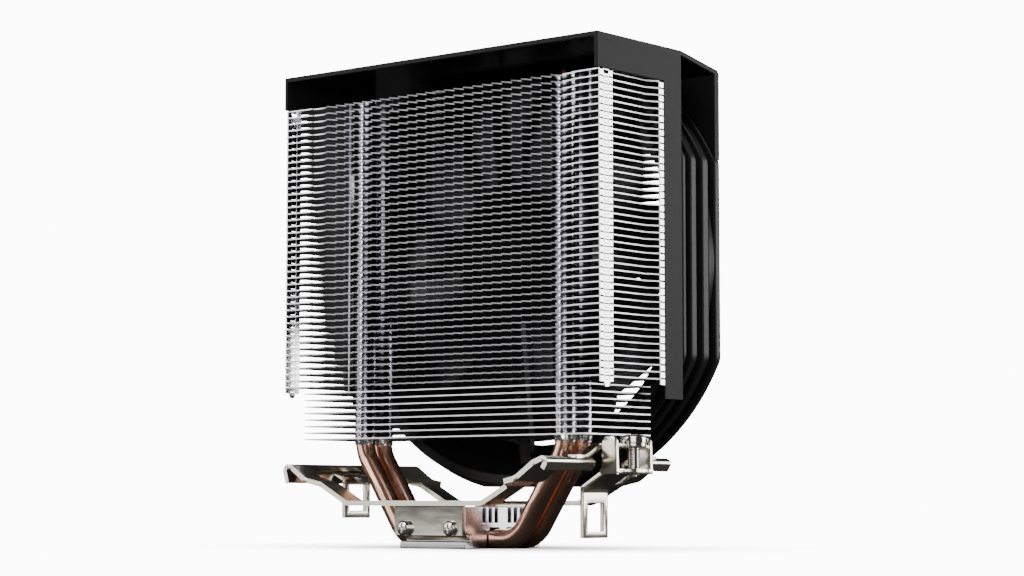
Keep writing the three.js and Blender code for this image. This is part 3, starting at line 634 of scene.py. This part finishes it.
# HOOD
# A satin black moulding with a flat roof, a sloping visor over the fan and a side skirt that runs down
# past the fins as a strip. All of its edges are eased.
black_plastic = surface("satin_black", (0.012, 0.0113, 0.0116), 0, 0.45, 2600, (1, 1, 1), 0.12, 0.05,
                        relief=0.00001, Specular_IOR_Level=0.09)
gloss_black = surface("gloss_black", (0.006, 0.006, 0.006), 0, 0.16, 900, (1, 1, 1), 0.12, 0.04,
                      relief=0.000005, Specular_IOR_Level=0.5)
CAVITY_Z = 140
hood = piece("hood_shell", cad_shape("hood"), black_plastic, "black_plastic", "cooler_body", "hood",
             bevel=0.45, flatten=True)
hood.data.materials.append(gloss_black)
for face in hood.data.polygons:
    face.material_index = int(face.normal.z < -0.7 and face.center.z > CAVITY_Z * MM)


# FAN FRAME
# A black ribbed barrel, 25 mm deep, cut flat at its sides, roof and floor. Four struts behind carry the
# motor plate, and rubber pads keep the frame off the fins.
FAN_Z = 86.8
FAN_REAR = -18.3
FAN_FRONT = -43.3
ROOF = 56.4
SOLE = 68.3
RIBS = [(-23.75, -25.4), (-28.0, -30.85), (-34.0, -37.1), (-40.6, -43.3)]


def clipped_ring(profile, angles=360):
    """A closed profile of (radius, depth, half width, roof) points carried round the fan's axis. Each
    radius stops where its ray meets the flats: half width at the sides, the roof and the floor."""
    radius, depth, half, roof = np.array(profile, float).T
    angle = np.linspace(0, 2 * math.pi, angles, endpoint=False)[:, None]
    c = np.abs(np.cos(angle)) + 1e-9
    up = np.maximum(np.sin(angle), 1e-9)
    down = np.maximum(-np.sin(angle), 1e-9)
    r = np.minimum.reduce([radius + 0 * angle, half / c, roof / up, (SOLE - (63 - half) * 0.3) / down])
    points = np.stack([r * np.cos(angle), depth + 0 * angle, FAN_Z + r * np.sin(angle)], -1)
    return points.reshape(-1, 3), grid_faces(angles, len(profile), closed_rows=True, closed_columns=True)


def frame_profile():
    """The barrel's section, from the rear lip over the ribs to the front, and back through the bore."""
    ease = 0.35
    loop = [(64.6, FAN_REAR, 60.2, 55.0), (67.4, FAN_REAR, 61.0, 56.0), (67.8, FAN_REAR - ease, 61.4, ROOF),
            (67.8, -23.7, 61.4, ROOF)]
    floors = [(65.0, 65.0, 61.3), (65.0, 65.0, 61.3), (65.2, 62.6, 63.0), (0, 0, 0)]
    for (back, front), (near, far, half) in zip(RIBS, floors):
        loop += [(69.8 - ease, back, 63 - ease, ROOF - 0.2), (69.8, back - ease, 63, ROOF),
                 (69.8, front + ease, 63, ROOF), (69.8 - ease, front, 63 - ease, ROOF - 0.2)]
        if half:
            next_back = RIBS[RIBS.index((back, front)) + 1][0]
            loop += [(near, front, half, ROOF - 1.0), (far, next_back, half, ROOF - 1.0)]
    bore = [(56.6, FAN_FRONT), (55.6, -42.4), (55.2, -41.0), (55.2, -33.0), (58.6, -27.5), (62.2, -21.5),
            (64.0, -19.0)]
    return loop + [(r, y, 60.0, 55.0) for r, y in bore]


def strut(number):
    """A strut from the motor plate to the barrel, set a little off the radius."""
    turn = number * math.pi / 2 + 0.11
    bar = plate(box_outline((18, -2.3), (61.5, 2.3)), "Y", FAN_REAR - 3, FAN_REAR - 0.1, bevel=0.5)
    points = bar[0].copy()
    points[:, 0] = bar[0][:, 0] * math.cos(turn) + bar[0][:, 2] * math.sin(turn)
    points[:, 2] = FAN_Z - bar[0][:, 0] * math.sin(turn) + bar[0][:, 2] * math.cos(turn)
    points[:, 0] = np.clip(points[:, 0], -60.6, 60.6)
    points[:, 2] = np.clip(points[:, 2], None, FAN_Z + 55.6)
    return points, bar[1]


plate_profile = [(0, -20.3), (20.4, -20.3), (21, -19.9), (21, -18.7), (20.6, -18.3), (16, -18.3),
                 (15.6, -18.5), (0, -18.5)]
holder_profile = [(3.3, -32.9), (4.0, -33), (4.3, -32.7), (4.3, -20.1), (3.3, -20.1), (3.3, -32.9)]
centre = (0, 0, FAN_Z)
fan_black = surface("fan_black", (0.014, 0.013, 0.0135), 0, 0.42, 2200, (1, 1, 1), 0.12, 0.06, relief=0.00001,
                    Specular_IOR_Level=0.2)
piece("fan_barrel", clipped_ring(frame_profile()), fan_black, "black_plastic", "cooler_body", "fan_frame",
      sharp=28)
bracket = joined(turned(plate_profile, 64, "Y", centre), turned(holder_profile, 40, "Y", centre),
                 *[strut(k) for k in range(4)])
piece("fan_bracket", bracket, fan_black, "black_plastic", "cooler_body", "motor_mount", sharp=35)

rubber = surface("black_rubber", (0.02, 0.02, 0.02), 0, 0.8, 3000, (1, 1, 1), 0.2, 0.1, relief=0.00003)
pad = [(0, -17.95), (1.3, -17.95), (1.5, -17.7), (1.5, -17.1), (1.3, -16.85), (0, -16.85)]
for number in range(4):
    low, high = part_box(f"rubber_pad_{number + 1}")
    middle = (low + high) / 2 / MM
    piece(f"fan_pad_{number + 1}", turned(pad, 28, "Y", (middle.x, 0, middle.z)), rubber, "rubber",
          "cooler_body", f"rubber_pad_{number + 1}")


# MOTOR
# Hidden behind the motor plate: a wound stator on the bearing holder, with its circuit board. The
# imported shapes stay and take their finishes.
def coat(node, finish):
    """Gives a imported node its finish."""
    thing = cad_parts[node]
    thing.data.materials.clear()
    thing.data.materials.append(finish)


laminations = surface("laminated_steel", (0.36, 0.36, 0.37), 1, 0.4, 1500, (0.05, 3, 0.05), 0.2, 0.1)
enamelled_wire = surface("enamelled_wire", (0.60, 0.25, 0.10), 1, 0.3, 2500, (1, 4, 1), 0.25, 0.1)
coat("stator_core", laminations)
coat("bearing_sleeve", surface("sintered_bronze", (0.58, 0.40, 0.20), 1, 0.45, 4000))
coat("circuit_board", surface("green_board", (0.03, 0.14, 0.07), 0, 0.35, 800))
for number in range(4):
    coat(f"coil_{number + 1}", enamelled_wire)


# IMPELLER AND ROTOR
# A dark grey moulding of nine swept blades on a cup, pressed over a steel yoke and a ring magnet. It
# turns on a steel shaft.
BLADES = 9
ROOT = 20.1
TIP = 54.4


def blade(number, rows=22, columns=20):
    """A blade as a closed sheet. The angle grows with the square of the radius, the depth runs from
    front to rear across the chord, and the thickness fades at both edges."""
    u = np.linspace(0, 1, rows)[:, None]
    v = np.linspace(0, 1, columns)
    radius = ROOT + u * (TIP - ROOT) + 0 * v
    angle = number / BLADES * 2 * math.pi + 0.34 * u * u + (0.62 - 0.14 * u) * (v - 0.5)
    depth = -40.8 + 17.2 * v + 1.6 * np.sin(math.pi * v) + 0 * u
    half = 0.75 * (1 - 0.3 * u) * (0.35 + 0.65 * np.sin(math.pi * np.clip(v, 0.02, 0.98)) ** 0.6)
    sides = []
    for s in (1, -1):
        sides.append(np.stack([radius * np.cos(angle), depth + s * half, FAN_Z + radius * np.sin(angle)], -1))
    loop = np.concatenate([sides[0], sides[1][:, ::-1]], 1)
    closed = np.concatenate([loop, loop], 1)[:, :2 * columns]
    faces = grid_faces(rows, 2 * columns, closed_columns=True)
    ends = []
    for row in (0, rows - 1):
        k = row * 2 * columns + np.arange(columns)
        m = row * 2 * columns + 2 * columns - 1 - np.arange(columns)
        ends += np.stack([k[:-1], k[1:], m[1:], m[:-1]], -1).tolist()
    return closed.reshape(-1, 3), faces + ends


cup = [(0, -41.8), (18.6, -41.8), (19.6, -41.6), (20.2, -41.1), (20.5, -40.2), (20.5, -23.1), (20.3, -22.9),
       (19.4, -22.9), (19.3, -23.2), (19.3, -40.0), (19.0, -40.3), (0, -40.3)]
boss = [(1.8, -40.4), (4, -40.4), (4, -36.2), (3.8, -35.8), (1.8, -35.8), (1.8, -40.4)]
grey_plastic = surface("dark_grey", (0.045, 0.042, 0.045), 0, 0.3, 1800, (1, 1, 1), 0.1, 0.06, relief=0.00001,
                       Specular_IOR_Level=0.4)
moulding = joined(*[blade(n) for n in range(BLADES)], turned(cup, 96, "Y", centre),
                  turned(boss, 32, "Y", centre))
piece("fan_blades", moulding, grey_plastic, "grey_plastic", "rotor", "impeller_hub",
      *[f"impeller_blade_{n + 1}" for n in range(BLADES)], sharp=35)
coat("rotor_yoke", laminations)
coat("magnet_ring", surface("ferrite", (0.07, 0.07, 0.07), 0, 0.6, 2500))
coat("shaft", bright_steel)
coat("retaining_washer", surface("natural_nylon", (0.80, 0.80, 0.77), 0, 0.4, 1500))
